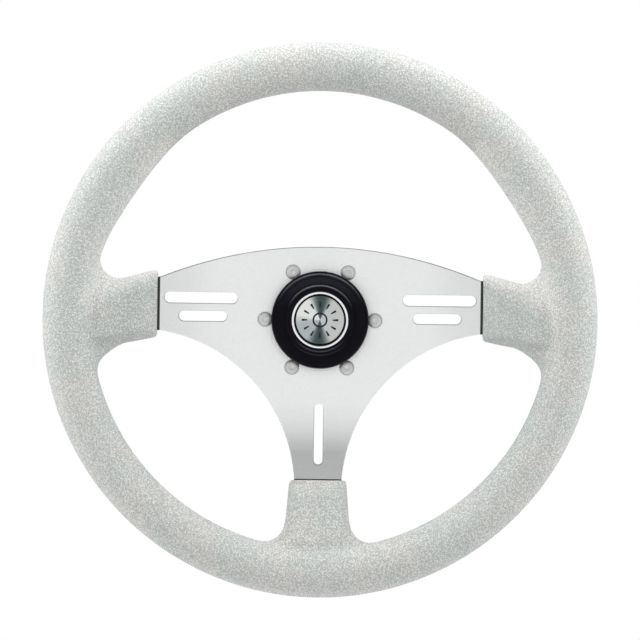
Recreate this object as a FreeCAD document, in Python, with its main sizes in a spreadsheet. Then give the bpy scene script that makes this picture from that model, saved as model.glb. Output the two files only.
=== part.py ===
import FreeCAD, Part
import math
import os
import Sketcher

from FreeCAD import Placement, Rotation, Vector

# Boat steering wheel with three arms.
# The shaft axis is Y, the front of the wheel looks towards -Y and +Z is up.
# The origin is on the shaft axis, at the hub's rear face. Lengths are in millimetres.

SIZES = [
    # Rim and its soft grip
    ("rim_diameter", 350.0, "outside diameter of the grip"),
    ("grip_width", 30.6, "grip section, measured across the rim"),
    ("grip_depth", 27.0, "grip section, measured along the shaft"),
    ("swell_height", 3.3, "how far the two thumb swells stand in from the rim"),
    ("swell_angle", 34.5, "degrees from a side arm up to the middle of its swell"),
    ("swell_half_angle", 17.0, "degrees from the middle of a swell to its ends"),
    ("swell_width", 30.0, "section of a swell, measured across the rim"),
    ("swell_sink", 0.6, "how far the front and back of a swell lie under the rim's skin"),
    ("swell_overrun_ratio", 1.12, "length of a swell, over the length that shows"),
    ("core_bar", 10.0, "diameter of the steel bar in the rim"),
    # Boots of the grip, which reach inwards over the arms
    ("side_boot_reach", 41.1, "mouth of a side boot to the rim's inner edge"),
    ("side_boot_top", 31.0, "top edge of a side boot at its mouth, above the axis"),
    ("side_boot_low", 12.0, "bottom edge of a side boot at its mouth, below the axis"),
    ("side_top_angle", 16.0, "degrees that the top edge of a side boot falls outwards"),
    ("side_low_angle", 12.0, "degrees that its bottom edge falls outwards"),
    ("side_flare_angle", 37.0, "degrees that its bottom edge falls past the flare"),
    ("bottom_boot_reach", 42.9, "mouth of the bottom boot to the rim's inner edge"),
    ("bottom_boot_width", 36.0, "width of the bottom boot at its mouth"),
    ("bottom_boot_angle", 4.5, "degrees that each of its sides opens outwards"),
    ("bottom_flare_angle", 12.0, "degrees that each of its sides opens past the flare"),
    ("flare_reach", 18.4, "where the boots start to flare, to the rim's inner edge"),
    ("boot_mouth_depth", 16.0, "thickness of a boot at its mouth"),
    ("boot_root_depth", 21.0, "thickness of a boot at the middle of the rim"),
    ("boot_round", 6.5, "radius along a boot's four edges"),
    ("boot_fillet", 14.0, "radius between the boots and the rim"),
    ("mouth_edge", 1.8, "radius round the mouth of a boot"),
    # Spoke plate
    ("plate_thickness", 4.0, "thickness of the spoke plate"),
    ("plate_top", 46.6, "top edge above the axis, in the middle"),
    ("side_top", 26.1, "top of a side arm's end above the axis"),
    ("side_low", 7.8, "bottom of a side arm's end below the axis"),
    ("bottom_width", 30.0, "width of the bottom arm's end"),
    ("waist_radius", 103.0, "radius of the hollow edges between the arms"),
    ("plate_edge", 0.6, "rounding of the plate's front edges"),
    ("arm_flat", 50.0, "shaft axis to where each arm starts to bend"),
    ("bend_margin", 17.4, "end of the bends to the end of the bottom arm"),
    ("arm_slope", 20.0, "degrees that the arms lean forward past the bend"),
    ("tang_step", 1.0, "how far each edge of a tang is set in from the arm's edge"),
    ("tang_gap", 10.4, "tip of each tang to the rim's inner edge"),
    ("side_tip_top", 16.0, "top of a side tang's tip above the axis"),
    ("side_tip_low", 12.0, "bottom of a side tang's tip below the axis"),
    # Slots through the plate
    ("long_slot_start", 52.6, "shaft axis to the inner end of a side arm's upper slot"),
    ("long_slot_margin", 2.7, "its outer end to the end of the arm"),
    ("long_slot_width", 7.0, "its width"),
    ("long_slot_up", 13.3, "its middle, above the axis"),
    ("short_slot_start", 59.3, "shaft axis to the inner end of a side arm's lower slot"),
    ("short_slot_margin", 12.0, "its outer end to the end of the arm"),
    ("short_slot_width", 6.5, "its width"),
    ("short_slot_up", 1.6, "its middle, above the axis"),
    ("bottom_slot_start", 53.5, "shaft axis to the inner end of the bottom arm's slot"),
    ("bottom_slot_margin", 9.0, "its outer end to the end of the arm"),
    ("bottom_slot_width", 5.6, "its width"),
    # Steel lugs and rivets between the arms and the core ring
    ("lug_edge", 8.5, "inner end of a lug to its rivets"),
    ("lug_thickness", 3.0, "thickness of a lug"),
    ("side_lug_width", 24.0, "width of a side lug"),
    ("side_lug_up", 3.0, "middle of a side lug above the axis"),
    ("bottom_lug_width", 22.0, "width of the bottom lug"),
    ("rivet_edge", 8.5, "rivets to the tip of their tang"),
    ("rivet_spread", 13.0, "distance between the two rivets of an arm"),
    ("rivet_shank", 5.0, "diameter of a rivet and of its hole"),
    ("rivet_head", 8.6, "diameter of a rivet's heads"),
    ("rivet_rise", 1.8, "height of a rivet's heads"),
    # Seal bands where the arms enter the boots
    ("seal_width", 1.6, "width of a band along the arm"),
    ("side_seal_show", 1.6, "how much of a side band shows in front of its boot"),
    ("bottom_seal_show", 0.6, "how much of the bottom band shows in front of its boot"),
    ("seal_lip", 1.2, "how far a band stands off the faces of the plate"),
    # Hub
    ("hub_depth", 42.0, "rear face to the seat of the plate"),
    ("hub_flange", 84.0, "diameter of the flange"),
    ("hub_flange_depth", 10.0, "thickness of the flange"),
    ("neck_front", 58.0, "diameter of the neck where it meets the flange"),
    ("neck_rear", 48.0, "diameter of the neck at the rear face"),
    ("neck_round", 6.0, "radius between the neck and the flange"),
    ("hub_edge", 1.5, "rounding of the hub's outer edges"),
    ("spigot_diameter", 56.0, "spigot that centres the plate"),
    ("spigot_height", 3.4, "height of the spigot"),
    ("spigot_play", 0.15, "gap between the spigot and the plate all round"),
    ("socket_diameter", 50.0, "bore that takes the cap's skirt"),
    ("socket_depth", 9.0, "depth of that bore below the plate's seat"),
    ("nut_pocket", 36.0, "bore round the shaft nut"),
    ("taper_length", 26.0, "length of the tapered shaft bore"),
    ("shaft_diameter", 19.05, "shaft bore at the rear face"),
    ("shaft_taper", 12.0, "length in which the bore narrows by one millimetre"),
    ("keyway_width", 4.76, "width of the keyway"),
    ("keyway_depth", 2.4, "depth of the keyway at the rear face"),
    # Hub screws
    ("screw_count", 6, "screws round the hub"),
    ("screw_circle", 70.0, "diameter of the screw circle"),
    ("screw_thread", 5.0, "diameter of the screws"),
    ("screw_length", 12.0, "length of the screws under the head"),
    ("screw_head", 9.5, "diameter of the heads"),
    ("screw_head_height", 2.75, "height of the heads"),
    ("screw_dome", 2.4, "rounding of the heads"),
    ("screw_key", 3.0, "hexagon socket across its flats"),
    ("screw_key_depth", 1.7, "depth of the hexagon socket"),
    ("screw_hole", 5.5, "clearance holes in the plate"),
    ("thread_play", 0.05, "gap between a screw and its thread in the hub"),
    # Cap in the middle
    ("cap_diameter", 62.0, "widest diameter of the cap"),
    ("cap_height", 13.0, "front of the plate to the face of the cap"),
    ("cap_edge", 4.0, "rounding of the cap's outer edge"),
    ("cap_foot", 59.6, "diameter of the foot that stands on the plate"),
    ("cap_foot_height", 3.2, "height of the foot, over which the edge reaches"),
    ("boss_diameter", 44.6, "diameter of the raised boss"),
    ("boss_rise", 2.6, "height of the boss above the cap's face"),
    ("boss_edge", 1.1, "rounding of the boss"),
    ("cap_wall", 3.0, "wall of the cap and its skirt"),
    ("skirt_length", 10.5, "length of the skirt behind the plate's front"),
    ("skirt_play", 0.3, "gap between the skirt and its bore all round"),
    ("ring_cord", 2.4, "cord of the rubber ring on the skirt"),
    ("ring_play", 0.05, "gap round the rubber ring"),
    ("ring_setback", 2.2, "end of the skirt to the ring's groove"),
    # Bezel and badge
    ("bezel_diameter", 36.2, "outside of the bright ring"),
    ("bezel_bore", 32.8, "inside of the bright ring"),
    ("bezel_rise", 0.9, "how far the ring stands off the boss"),
    ("bezel_round", 0.7, "rounding of the ring's front edges"),
    ("bezel_play", 0.05, "gap round the ring in the cap"),
    ("badge_seat", 2.6, "depth of the seat in the boss"),
    ("badge_diameter", 30.7, "diameter of the disc"),
    ("badge_thickness", 1.8, "thickness of the disc"),
    ("badge_edge", 0.3, "rounding of the disc's front edge"),
    ("mark_count", 12, "index marks on the disc"),
    ("mark_inner", 8.0, "inner radius of the index marks"),
    ("mark_outer", 11.6, "outer radius of the index marks"),
    ("mark_width", 1.5, "width of the index marks"),
    ("mark_ring", 9.6, "outside diameter of the ring inside them"),
    ("mark_ring_width", 1.1, "width of that ring"),
    ("mark_rise", 0.15, "height of the marks"),
]

doc = FreeCAD.newDocument("boat_steering_wheel")
sheet = doc.addObject("Spreadsheet::Sheet", "Dimensions")
for row, (alias, value, meaning) in enumerate(SIZES, start=1):
    sheet.set(f"A{row}", alias)
    sheet.set(f"B{row}", str(value))
    sheet.set(f"C{row}", meaning)
    sheet.setAlias(f"B{row}", alias)
doc.recompute()


class Size:
    """A size: its value now, and the expression that ties it to the sheet."""

    def __init__(self, value, text):
        self.value = float(value)
        self.text = text

    def __add__(self, other):
        other = as_size(other)
        return Size(self.value + other.value, f"({self.text} + {other.text})")

    def __sub__(self, other):
        other = as_size(other)
        return Size(self.value - other.value, f"({self.text} - {other.text})")

    def __mul__(self, other):
        other = as_size(other)
        return Size(self.value * other.value, f"({self.text} * {other.text})")

    def __truediv__(self, other):
        other = as_size(other)
        return Size(self.value / other.value, f"({self.text} / {other.text})")

    def __radd__(self, other):
        return as_size(other) + self

    def __rsub__(self, other):
        return as_size(other) - self

    def __rmul__(self, other):
        return as_size(other) * self

    def __rtruediv__(self, other):
        return as_size(other) / self

    def __neg__(self):
        return 0 - self


def as_size(number):
    return number if isinstance(number, Size) else Size(number, repr(float(number)))


def sine(degrees):
    degrees = as_size(degrees)
    return Size(math.sin(math.radians(degrees.value)), f"sin({degrees.text})")


def cosine(degrees):
    degrees = as_size(degrees)
    return Size(math.cos(math.radians(degrees.value)), f"cos({degrees.text})")


def tangent(degrees):
    degrees = as_size(degrees)
    return Size(math.tan(math.radians(degrees.value)), f"tan({degrees.text})")


def arc_sine(share):
    return Size(math.degrees(math.asin(share.value)), f"asin({share.text})")


def bind(item, prop, size):
    item.setExpression(prop, as_size(size).text)


SIZE = {alias: Size(value, f"Dimensions.{alias}") for alias, value, meaning in SIZES}


# Sketching

def origin_plane(body, role):
    return next(item for item in body.Origin.OriginFeatures if item.Role == role)


def new_body(label):
    body = doc.addObject("PartDesign::Body", label)
    body.Label = label
    return body


def sketch_on(body, name, plane, offset=None):
    """A sketch on one of the body's own planes, moved off it along its normal by offset."""
    sketch = body.newObject("Sketcher::SketchObject", name)
    sketch.AttachmentSupport = [(origin_plane(body, plane), "")]
    sketch.MapMode = "FlatFace"
    if offset is not None:
        bind(sketch, "AttachmentOffset.Base.z", offset)
    return sketch


def pin(sketch, item, end, x, y):
    """Holds one point of the sketch at (x, y)."""
    for kind, axis, size in (("DistanceX", -2, as_size(x)), ("DistanceY", -1, as_size(y))):
        if size.text == "0.0":
            sketch.addConstraint(Sketcher.Constraint("PointOnObject", item, end, axis))
        else:
            number = sketch.addConstraint(Sketcher.Constraint(kind, -1, 1, item, end, size.value))
            sketch.setExpression(f"Constraints[{number}]", size.text)


def measure(sketch, kind, item, size):
    """Gives a radius, diameter or length to one item of the sketch."""
    size = as_size(size)
    number = sketch.addConstraint(Sketcher.Constraint(kind, item, size.value))
    sketch.setExpression(f"Constraints[{number}]", size.text)


def point(x, y):
    return Vector(as_size(x).value, as_size(y).value, 0)


def draw_outline(sketch, corners):
    """A closed outline of straight sides. A corner is (x, y), or (x, y, radius) if it is rounded."""
    count = len(corners)
    spots = [point(corner[0], corner[1]) for corner in corners]
    radii = [as_size(corner[2]) if len(corner) > 2 else None for corner in corners]
    entry = list(spots)
    leave = list(spots)
    arcs = {}
    for i in range(count):
        if radii[i] is None:
            continue
        before = (spots[i - 1] - spots[i]).normalize()
        after = (spots[(i + 1) % count] - spots[i]).normalize()
        half = before.getAngle(after) / 2
        reach = radii[i].value / math.tan(half)
        entry[i] = spots[i] + before * reach
        leave[i] = spots[i] + after * reach
        centre = spots[i] + (before + after).normalize() * (radii[i].value / math.sin(half))
        turns_left = before.cross(after).z < 0
        first, last = (entry[i], leave[i]) if turns_left else (leave[i], entry[i])
        circle = Part.Circle(centre, Vector(0, 0, 1), radii[i].value)
        start = math.atan2(first.y - centre.y, first.x - centre.x)
        stop = math.atan2(last.y - centre.y, last.x - centre.x)
        if stop < start:
            stop += 2 * math.pi
        arcs[i] = (Part.ArcOfCircle(circle, start, stop), turns_left)
    sides = [
        sketch.addGeometry(Part.LineSegment(leave[i], entry[(i + 1) % count]), False)
        for i in range(count)
    ]
    for i in range(count):
        if i not in arcs:
            sketch.addConstraint(Sketcher.Constraint("Coincident", sides[i - 1], 2, sides[i], 1))
            pin(sketch, sides[i], 1, corners[i][0], corners[i][1])
            continue
        shape, turns_left = arcs[i]
        arc = sketch.addGeometry(shape, False)
        corner = sketch.addGeometry(Part.Point(spots[i]), True)
        pin(sketch, corner, 1, corners[i][0], corners[i][1])
        sketch.addConstraint(Sketcher.Constraint("PointOnObject", corner, 1, sides[i - 1]))
        sketch.addConstraint(Sketcher.Constraint("PointOnObject", corner, 1, sides[i]))
        near, far = (1, 2) if turns_left else (2, 1)
        sketch.addConstraint(Sketcher.Constraint("Tangent", sides[i - 1], 2, arc, near))
        sketch.addConstraint(Sketcher.Constraint("Tangent", sides[i], 1, arc, far))
        measure(sketch, "Radius", arc, radii[i])


def draw_path(sketch, stops):
    """A closed path. A stop is (x, y) before a straight side, or (x, y, radius, side) before an arc
    whose centre lies to the "left" or "right" of the way to the next stop."""
    spots = [point(stop[0], stop[1]) for stop in stops]
    pieces = []
    for i, stop in enumerate(stops):
        start, finish = spots[i], spots[(i + 1) % len(stops)]
        if len(stop) == 2:
            pieces.append((sketch.addGeometry(Part.LineSegment(start, finish), False), 1, 2))
            continue
        radius, side = as_size(stop[2]), stop[3]
        half = (finish - start) * 0.5
        across = Vector(-half.y, half.x, 0).normalize() * (1 if side == "left" else -1)
        centre = start + half + across * math.sqrt(radius.value ** 2 - half.Length ** 2)
        first, last = (start, finish) if side == "left" else (finish, start)
        begin = math.atan2(first.y - centre.y, first.x - centre.x)
        end = math.atan2(last.y - centre.y, last.x - centre.x)
        if end < begin:
            end += 2 * math.pi
        circle = Part.Circle(centre, Vector(0, 0, 1), radius.value)
        arc = sketch.addGeometry(Part.ArcOfCircle(circle, begin, end), False)
        pieces.append((arc, 1, 2) if side == "left" else (arc, 2, 1))
    for i, (piece, start_end, finish_end) in enumerate(pieces):
        following, following_start, unused = pieces[(i + 1) % len(pieces)]
        sketch.addConstraint(
            Sketcher.Constraint("Coincident", piece, finish_end, following, following_start)
        )
        pin(sketch, piece, start_end, stops[i][0], stops[i][1])
        if len(stops[i]) > 2:
            measure(sketch, "Radius", piece, stops[i][2])


def draw_circle(sketch, x, y, diameter):
    diameter = as_size(diameter)
    circle = Part.Circle(point(x, y), Vector(0, 0, 1), diameter.value / 2)
    item = sketch.addGeometry(circle, False)
    pin(sketch, item, 3, x, y)
    measure(sketch, "Diameter", item, diameter)


def draw_slot(sketch, x, y, length, width, upright=False):
    """A slot with round ends, lying along X or standing along Y."""
    reach = (length - width) / 2
    radius = (width / 2).value
    ends = [(x, y - reach), (x, y + reach)] if upright else [(x - reach, y), (x + reach, y)]
    turn = math.pi / 2 if upright else 0.0
    arcs = []
    for number, (cx, cy) in enumerate(ends):
        start = turn + (math.pi / 2 if number == 0 else -math.pi / 2)
        circle = Part.Circle(point(cx, cy), Vector(0, 0, 1), radius)
        arcs.append(sketch.addGeometry(Part.ArcOfCircle(circle, start, start + math.pi), False))
        pin(sketch, arcs[number], 3, cx, cy)
    low = sketch.addGeometry(
        Part.LineSegment(sketch.Geometry[arcs[0]].EndPoint, sketch.Geometry[arcs[1]].StartPoint), False
    )
    high = sketch.addGeometry(
        Part.LineSegment(sketch.Geometry[arcs[1]].EndPoint, sketch.Geometry[arcs[0]].StartPoint), False
    )
    sketch.addConstraint(Sketcher.Constraint("Tangent", arcs[0], 2, low, 1))
    sketch.addConstraint(Sketcher.Constraint("Tangent", low, 2, arcs[1], 1))
    sketch.addConstraint(Sketcher.Constraint("Tangent", arcs[1], 2, high, 1))
    sketch.addConstraint(Sketcher.Constraint("Tangent", high, 2, arcs[0], 1))
    measure(sketch, "Radius", arcs[0], width / 2)


# Features

def pad(body, sketch, length, both_ways=False, backwards=False):
    feature = body.newObject("PartDesign::Pad", sketch.Name + "_pad")
    feature.Profile = sketch
    feature.SideType = "Symmetric" if both_ways else "One side"
    feature.Reversed = backwards
    bind(feature, "Length", length)
    return feature


def pocket(body, sketch, length=None, backwards=False):
    """Cuts a depth on one side of the sketch, or right through both ways where no length is given."""
    feature = body.newObject("PartDesign::Pocket", sketch.Name + "_cut")
    feature.Profile = sketch
    if length is None:
        feature.SideType = "Symmetric"
        feature.Type = "ThroughAll"
    else:
        feature.Reversed = backwards
        bind(feature, "Length", length)
    return feature


def turn(body, sketch):
    """Revolves a half section about the shaft's direction, the sketch's upright axis."""
    feature = body.newObject("PartDesign::Revolution", sketch.Name + "_turned")
    feature.Profile = sketch
    feature.ReferenceAxis = (sketch, ["V_Axis"])
    feature.Angle = 360
    return feature


def round_edges(body, radius, wanted):
    """Rounds the edges of the body so far for which wanted(edge, faces) is true."""
    doc.recompute()
    base = body.Tip
    names = [
        f"Edge{number}"
        for number, edge in enumerate(base.Shape.Edges, start=1)
        if wanted(edge, base.Shape.ancestorsOfType(edge, Part.Face))
    ]
    feature = body.newObject("PartDesign::Fillet", body.Name + "_rounding")
    feature.Base = (base, names)
    bind(feature, "Radius", radius)
    return feature


def combine(kind, label, **links):
    item = doc.addObject(kind, label)
    item.Label = label
    for name, value in links.items():
        setattr(item, name, value)
    return item


# Places shared by several pieces

rim_radius = (SIZE["rim_diameter"] - SIZE["grip_width"]) / 2
rim_inside = SIZE["rim_diameter"] / 2 - SIZE["grip_width"]
side_mouth = rim_inside - SIZE["side_boot_reach"]
side_end = side_mouth - SIZE["side_seal_show"]
bottom_mouth = rim_inside - SIZE["bottom_boot_reach"]
bottom_end = bottom_mouth - SIZE["bottom_seal_show"]
flare_out = rim_inside - SIZE["flare_reach"]
tang_end = rim_inside - SIZE["tang_gap"]
rivet_out = tang_end - SIZE["rivet_edge"]
lug_start = rivet_out - SIZE["lug_edge"]
plate_middle = -(SIZE["hub_depth"] + SIZE["plate_thickness"] / 2)
plate_front = -(SIZE["hub_depth"] + SIZE["plate_thickness"])
arm_bend = (bottom_end - SIZE["bend_margin"] - SIZE["arm_flat"]) / sine(SIZE["arm_slope"])
bend_corner = SIZE["arm_flat"] + arm_bend * tangent(SIZE["arm_slope"] / 2)


def arm_middle(out):
    """Y of an arm's mid thickness at a distance from the shaft axis, past the bend."""
    return plate_middle - (out - bend_corner) * tangent(SIZE["arm_slope"])


def sloped(thickness):
    """A thickness of the sloping arm, as it measures along the shaft axis."""
    return thickness / cosine(SIZE["arm_slope"])


rim_middle = arm_middle(rim_radius)


class Arm:
    """A direction in which the plate reaches the rim, with its sizes and its sketch coordinates.

    out is a distance from the shaft axis along the arm, up lies across the arm."""

    def __init__(self, name, end, mouth, top, low, boot_top, boot_low, lug_middle, lug_width):
        self.name = name
        self.end, self.mouth = end, mouth
        self.top, self.low = top, low
        self.boot_top, self.boot_low = boot_top, boot_low
        self.lug_middle, self.lug_width = lug_middle, lug_width
        self.upright = name == "bottom"
        self.sign = -1 if name == "left" else 1
        self.side_plane = "YZ_Plane" if self.upright else "XY_Plane"
        self.cross_plane = "XY_Plane" if self.upright else "YZ_Plane"
        self.slope_axis = Vector(-1, 0, 0) if self.upright else Vector(0, 0, -self.sign)

    def front(self, out, up):
        """Front view, X and Z."""
        return (up, -as_size(out)) if self.upright else (self.sign * as_size(out), up)

    def side(self, out, y):
        """Side view, seen across the arm."""
        return (y, -as_size(out)) if self.upright else (self.sign * as_size(out), y)

    def cross(self, y, up):
        """Section across the arm."""
        return (up, y) if self.upright else (y, up)

    def cross_offset(self, out):
        return -as_size(out) if self.upright else self.sign * as_size(out)

    def middle(self):
        return (self.top + self.low) / 2

    def lean(self, item, prop, up, out, y):
        """Places an item on the slope of the arm."""
        x, z = self.front(out, up)
        item_place = Placement(Vector(0, 0, 0), Rotation(self.slope_axis, SIZE["arm_slope"].value))
        setattr(item, prop, item_place)
        bind(item, prop + ".Base.x", x)
        bind(item, prop + ".Base.y", y)
        bind(item, prop + ".Base.z", z)
        bind(item, prop + ".Rotation.Angle", SIZE["arm_slope"])


def side_boot_top(out):
    return SIZE["side_boot_top"] - (out - side_mouth) * tangent(SIZE["side_top_angle"])


def opening(out, mouth, fall, flare):
    """How far an edge of a boot has opened from its mouth: gently at first, then in a flare."""
    if out.value <= flare_out.value:
        return (out - mouth) * tangent(fall)
    return (flare_out - mouth) * tangent(fall) + (out - flare_out) * tangent(flare)


def side_boot_low(out):
    fall, flare = SIZE["side_low_angle"], SIZE["side_flare_angle"]
    return -SIZE["side_boot_low"] - opening(out, side_mouth, fall, flare)


def bottom_boot_side(out):
    fall, flare = SIZE["bottom_boot_angle"], SIZE["bottom_flare_angle"]
    return SIZE["bottom_boot_width"] / 2 + opening(out, bottom_mouth, fall, flare)


side_values = dict(
    end=side_end,
    mouth=side_mouth,
    top=SIZE["side_top"],
    low=-SIZE["side_low"],
    boot_top=side_boot_top,
    boot_low=side_boot_low,
    lug_middle=SIZE["side_lug_up"],
    lug_width=SIZE["side_lug_width"],
)
ARMS = [
    Arm("right", **side_values),
    Arm("left", **side_values),
    Arm(
        "bottom",
        end=bottom_end,
        mouth=bottom_mouth,
        top=SIZE["bottom_width"] / 2,
        low=-SIZE["bottom_width"] / 2,
        boot_top=bottom_boot_side,
        boot_low=lambda out: -bottom_boot_side(out),
        lug_middle=as_size(0),
        lug_width=SIZE["bottom_lug_width"],
    ),
]


def leaning_sketch(body, name, arm, up, out, y):
    """A sketch in the slope of an arm, with its origin at the given place."""
    sketch = sketch_on(body, name, "XZ_Plane")
    axis = Vector(arm.slope_axis.x, arm.slope_axis.z, -arm.slope_axis.y)
    sketch.AttachmentOffset = Placement(Vector(0, 0, 0), Rotation(axis, SIZE["arm_slope"].value))
    x, z = arm.front(out, up)
    bind(sketch, "AttachmentOffset.Base.x", x)
    bind(sketch, "AttachmentOffset.Base.y", z)
    bind(sketch, "AttachmentOffset.Base.z", -y)
    bind(sketch, "AttachmentOffset.Rotation.Angle", SIZE["arm_slope"])
    return sketch


def side_band(arm, start, stop, low, high):
    """A strip of an arm seen from the side, between two heights over the arm's mid thickness."""
    return [
        arm.side(start, arm_middle(start) + sloped(low)),
        arm.side(stop, arm_middle(stop) + sloped(low)),
        arm.side(stop, arm_middle(stop) + sloped(high)),
        arm.side(start, arm_middle(start) + sloped(high)),
    ]


half_plate = SIZE["plate_thickness"] / 2

# A rivet holds the plate and a lug behind it, so its middle is behind the plate's middle
stack = SIZE["plate_thickness"] + SIZE["lug_thickness"]
rivet_middle_out = rivet_out + SIZE["lug_thickness"] / 2 * sine(SIZE["arm_slope"])
rivet_middle_y = arm_middle(rivet_out) + SIZE["lug_thickness"] / 2 * cosine(SIZE["arm_slope"])


def rivet_places(arm):
    """Where an arm's two rivets are, across the arm from its lug's middle."""
    return [SIZE["rivet_spread"] / 2, -SIZE["rivet_spread"] / 2]


def rivet_holes(body, arm):
    sketch = leaning_sketch(
        body, f"rivet_holes_{arm.name}", arm, arm.lug_middle, rivet_middle_out, rivet_middle_y
    )
    for across in rivet_places(arm):
        x, y = (across, 0) if arm.upright else (0, across)
        draw_circle(sketch, x, y, SIZE["rivet_shank"])
    cut = pocket(body, sketch, stack * 2)
    cut.SideType = "Symmetric"
    return cut


# Spoke plate

def spoke_plate():
    """One bent plate: the sheet is formed first, then trimmed to its outline and pierced."""
    body = new_body("spoke_plate")
    reach = tang_end
    shift = half_plate * tangent(SIZE["arm_slope"] / 2)
    back_bend = bend_corner + shift, -SIZE["hub_depth"], arm_bend + half_plate
    front_bend = bend_corner - shift, plate_front, arm_bend - half_plate
    back_end = arm_middle(reach) + sloped(half_plate)
    front_end = arm_middle(reach) - sloped(half_plate)

    side_bend = sketch_on(body, "side_bend", "XY_Plane")
    draw_outline(side_bend, [
        (reach, back_end),
        back_bend,
        (-back_bend[0], back_bend[1], back_bend[2]),
        (-reach, back_end),
        (-reach, front_end),
        (-front_bend[0], front_bend[1], front_bend[2]),
        front_bend,
        (reach, front_end),
    ])
    blank = pad(body, side_bend, SIZE["plate_top"] + SIZE["plate_thickness"])
    blank.SideType = "Two sides"
    bind(blank, "Length2", SIZE["arm_flat"])

    bottom_bend = sketch_on(body, "bottom_bend", "YZ_Plane")
    draw_outline(bottom_bend, [
        (-SIZE["hub_depth"], -SIZE["arm_flat"] / 2),
        (back_bend[1], -back_bend[0], back_bend[2]),
        (back_end, -reach),
        (front_end, -reach),
        (front_bend[1], -front_bend[0], front_bend[2]),
        (plate_front, -SIZE["arm_flat"] / 2),
    ])
    pad(body, bottom_bend, SIZE["arm_flat"] * 2, both_ways=True)

    outline = sketch_on(body, "outline", "XZ_Plane")
    waste = reach + SIZE["plate_thickness"]
    draw_outline(outline, [(waste, waste), (-waste, waste), (-waste, -waste), (waste, -waste)])
    rise = SIZE["plate_top"] - SIZE["side_top"]
    crown = (side_end * side_end + rise * rise) / (2 * rise)
    right, left, bottom = ARMS
    draw_path(outline, [
        (side_end, SIZE["side_top"], crown, "left"),
        (-side_end, SIZE["side_top"]),
        *tang(left, SIZE["side_tip_top"], -SIZE["side_tip_low"]),
        (-side_end, -SIZE["side_low"], SIZE["waist_radius"], "right"),
        (-SIZE["bottom_width"] / 2, -bottom_end),
        *reversed(tang(bottom, bottom.top - SIZE["tang_step"], bottom.low + SIZE["tang_step"])),
        (SIZE["bottom_width"] / 2, -bottom_end, SIZE["waist_radius"], "right"),
        (side_end, -SIZE["side_low"]),
        *reversed(tang(right, SIZE["side_tip_top"], -SIZE["side_tip_low"])),
    ])
    pocket(body, outline)

    slots = sketch_on(body, "slots", "XZ_Plane")
    for side in (-1, 1):
        for name in ("long_slot", "short_slot"):
            middle, length = slot_span(name, side_end)
            draw_slot(slots, side * middle, SIZE[name + "_up"], length, SIZE[name + "_width"])
    middle, length = slot_span("bottom_slot", bottom_end)
    draw_slot(slots, as_size(0), -middle, length, SIZE["bottom_slot_width"], upright=True)
    pocket(body, slots)

    bore = sketch_on(body, "bore", "XZ_Plane")
    draw_circle(bore, 0, 0, SIZE["spigot_diameter"] + 2 * SIZE["spigot_play"])
    pocket(body, bore)

    screw_hole = sketch_on(body, "screw_hole", "XZ_Plane")
    draw_circle(screw_hole, SIZE["screw_circle"] / 2, 0, SIZE["screw_hole"])
    repeat_round(body, screw_hole, pocket(body, screw_hole), SIZE["screw_count"])
    for arm in ARMS:
        rivet_holes(body, arm)
    round_edges(body, SIZE["plate_edge"], front_edge)
    return body


def slot_span(name, arm_end):
    """Middle and length of a slot, from its own start to its margin at the arm's end."""
    start, stop = SIZE[name + "_start"], arm_end - SIZE[name + "_margin"]
    return (start + stop) / 2, stop - start


def tang(arm, tip_top, tip_low):
    """The outline of a tang, from the arm's top edge round its tip to the low edge."""
    neck = arm.end + SIZE["seal_width"]
    top, low = arm.top - SIZE["tang_step"], arm.low + SIZE["tang_step"]
    stops = [
        (arm.end, top), (neck, top), (tang_end, tip_top),
        (tang_end, tip_low), (neck, low), (arm.end, low),
    ]
    return [arm.front(out, up) for out, up in stops]


def front_edge(edge, faces):
    """True for an edge between the plate's front face and the wall of its outline or of a slot."""
    spot = edge.valueAt((edge.FirstParameter + edge.LastParameter) / 2)
    if max(abs(spot.x), abs(spot.z)) > bottom_end.value - SIZE["plate_edge"].value:
        return False
    slopes = []
    for face in faces:
        u, v = face.Surface.parameter(spot)
        slopes.append(face.normalAt(u, v).y)
    walls = sum(abs(slope) < 0.01 for slope in slopes)
    fronts = sum(slope < -0.5 for slope in slopes)
    return walls == 1 and fronts == 1


def repeat_round(body, sketch, feature, count):
    """Repeats a feature evenly round the shaft axis."""
    pattern = body.newObject("PartDesign::PolarPattern", sketch.Name + "_pattern")
    pattern.Originals = [feature]
    pattern.Axis = (sketch, ["N_Axis"])
    pattern.Angle = 360
    bind(pattern, "Occurrences", count)
    body.Tip = pattern
    return pattern


# Rim: core ring, lugs and rivets

def core_ring():
    ring = combine("Part::Torus", "rim_core_ring")
    ring.Placement = Placement(Vector(0, 0, 0), Rotation(Vector(1, 0, 0), 90))
    bind(ring, "Radius1", rim_radius)
    bind(ring, "Radius2", SIZE["core_bar"] / 2)
    bind(ring, "Placement.Base.y", rim_middle)
    return ring


def core_lug(arm, ring):
    """A flat steel lug behind the tang, cut to the round of the core ring that it is welded to."""
    blank = new_body(f"lug_blank_{arm.name}")
    profile = sketch_on(blank, f"lug_profile_{arm.name}", arm.side_plane, arm.lug_middle)
    back = half_plate + SIZE["lug_thickness"]
    draw_outline(profile, side_band(arm, lug_start, rim_radius, half_plate, back))
    pad(blank, profile, arm.lug_width, both_ways=True)
    rivet_holes(blank, arm)
    return combine("Part::Cut", f"core_lug_{arm.name}", Base=blank, Tool=ring)


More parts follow.
